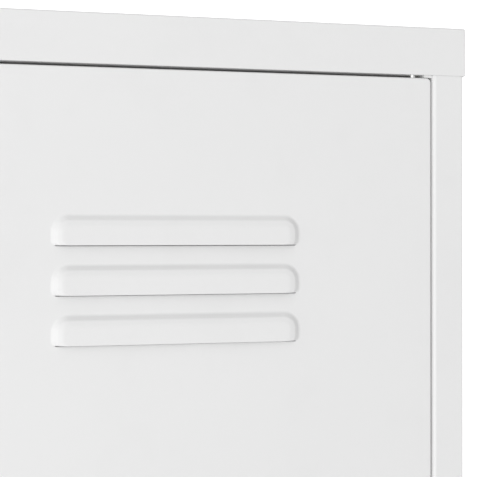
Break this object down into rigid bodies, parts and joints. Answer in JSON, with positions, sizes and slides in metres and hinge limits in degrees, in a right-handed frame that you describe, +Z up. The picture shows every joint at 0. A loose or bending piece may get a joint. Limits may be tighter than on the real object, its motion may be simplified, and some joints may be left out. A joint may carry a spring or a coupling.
{
  "type": "locker cabinet",
  "caption": "Tall narrow steel locker with a folded cap, a pin-hinged louvered door, lever lock with locking rods, hat shelf, hanging rail and levelling feet.",
  "frame": {"origin": "on the floor, under the middle of the cabinet's whole box, handle included", "axes": "+Z up, the door faces -Y, +X to the viewer's right, where the door's pivots are"},
  "size_m": [0.38, 0.4691, 1.8],
  "materials": {
    "white_powder_coat": "fine satin powder coat on folded sheet steel",
    "zinc_plated_steel": "bright zinc plate",
    "bright_steel": "turned bright steel",
    "chrome_tube": "chromed drawn tube",
    "satin_chrome": "satin chrome on die-cast zinc",
    "brass_core": "nickelled brass",
    "white_nylon": "moulded nylon",
    "grey_plastic": "moulded plastic, fine grain",
    "black_nylon": "moulded nylon",
    "clear_rubber": "soft moulded dots"
  },
  "bodies": {
    "cabinet": {"top_cap": "white_powder_coat", "left_side_panel": "white_powder_coat", "right_side_panel": "white_powder_coat", "back_panel": "white_powder_coat", "back_panel_screws": "zinc_plated_steel", "back_panel_nuts": "zinc_plated_steel", "kick_plate": "white_powder_coat", "base_tray": "white_powder_coat", "foot_nuts": "zinc_plated_steel", "top_pivot_bush": "white_nylon", "bottom_pivot_bush": "white_nylon", "door_stop_angle": "white_powder_coat", "door_buffers": "clear_rubber", "top_rod_keeper": "white_nylon", "bottom_rod_keeper": "white_nylon", "hat_shelf": "white_powder_coat", "shelf_clip_front_left": "zinc_plated_steel", "shelf_clip_front_right": "zinc_plated_steel", "shelf_clip_rear_left": "zinc_plated_steel", "shelf_clip_rear_right": "zinc_plated_steel", "hanging_rail": "chrome_tube", "rail_socket_left": "grey_plastic", "rail_socket_right": "grey_plastic"},
    "door": {"door_panel": "white_powder_coat", "door_stiffener": "white_powder_coat", "top_hinge_plate": "zinc_plated_steel", "bottom_hinge_plate": "zinc_plated_steel", "top_pivot_pin": "bright_steel", "bottom_pivot_pin": "bright_steel", "lock_backplate": "zinc_plated_steel", "lock_body": "zinc_plated_steel", "lock_nut": "zinc_plated_steel", "handle_rosette": "satin_chrome", "top_rod_guide": "white_nylon", "bottom_rod_guide": "white_nylon"},
    "handle": {"lever_handle": "satin_chrome", "handle_spindle": "zinc_plated_steel", "latch_cam": "zinc_plated_steel", "cam_screw": "zinc_plated_steel", "crank_pins": "zinc_plated_steel"},
    "lock_core": {"lock_cylinder": "brass_core"},
    "upper_rod": {"upper_locking_rod": "zinc_plated_steel"},
    "lower_rod": {"lower_locking_rod": "zinc_plated_steel"},
    "hook_1": {"coat_hook_1": "grey_plastic"},
    "hook_2": {"coat_hook_2": "grey_plastic"},
    "hook_3": {"coat_hook_3": "grey_plastic"},
    "foot_front_left": {"levelling_foot_front_left": "black_nylon"},
    "foot_front_right": {"levelling_foot_front_right": "black_nylon"},
    "foot_rear_left": {"levelling_foot_rear_left": "black_nylon"},
    "foot_rear_right": {"levelling_foot_rear_right": "black_nylon"}
  },
  "joints": [
    {"name": "door_hinge", "type": "hinge", "parent": "cabinet", "child": "door", "pos_m": [0.1552, -0.21, 0.92207], "axis": [0, 0, 1], "range_deg": [0, 120]},
    {"name": "handle_turn", "type": "hinge", "parent": "door", "child": "handle", "pos_m": [-0.1283, -0.2145, 0.96], "axis": [0, 1, 0], "range_deg": [0, 90]},
    {"name": "key_turn", "type": "hinge", "parent": "handle", "child": "lock_core", "pos_m": [-0.1283, -0.2345, 0.96], "axis": [0, 1, 0], "range_deg": [0, 90]},
    {"name": "upper_rod_slide", "type": "slide", "parent": "door", "child": "upper_rod", "axis": [0, 0, 1], "range_m": [0, 0.02273]},
    {"name": "lower_rod_slide", "type": "slide", "parent": "door", "child": "lower_rod", "axis": [0, 0, -1], "range_m": [0, 0.02273]},
    {"name": "hook_1_slide", "type": "slide", "parent": "cabinet", "child": "hook_1", "axis": [1, 0, 0], "range_m": [-0.0904, 0.035]},
    {"name": "hook_2_slide", "type": "slide", "parent": "cabinet", "child": "hook_2", "axis": [1, 0, 0], "range_m": [-0.035, 0.035]},
    {"name": "hook_3_slide", "type": "slide", "parent": "cabinet", "child": "hook_3", "axis": [1, 0, 0], "range_m": [-0.035, 0.0904]},
    {"name": "foot_front_left_screw", "type": "slide", "parent": "cabinet", "child": "foot_front_left", "axis": [0, 0, -1], "range_m": [0, 0.015]},
    {"name": "foot_front_right_screw", "type": "slide", "parent": "cabinet", "child": "foot_front_right", "axis": [0, 0, -1], "range_m": [0, 0.015]},
    {"name": "foot_rear_left_screw", "type": "slide", "parent": "cabinet", "child": "foot_rear_left", "axis": [0, 0, -1], "range_m": [0, 0.015]},
    {"name": "foot_rear_right_screw", "type": "slide", "parent": "cabinet", "child": "foot_rear_right", "axis": [0, 0, -1], "range_m": [0, 0.015]}
  ],
  "couplings": [
    {"joint": "upper_rod_slide", "follows": "handle_turn", "m_per_rad": 0.014405},
    {"joint": "lower_rod_slide", "follows": "handle_turn", "m_per_rad": 0.014405}
  ]
}
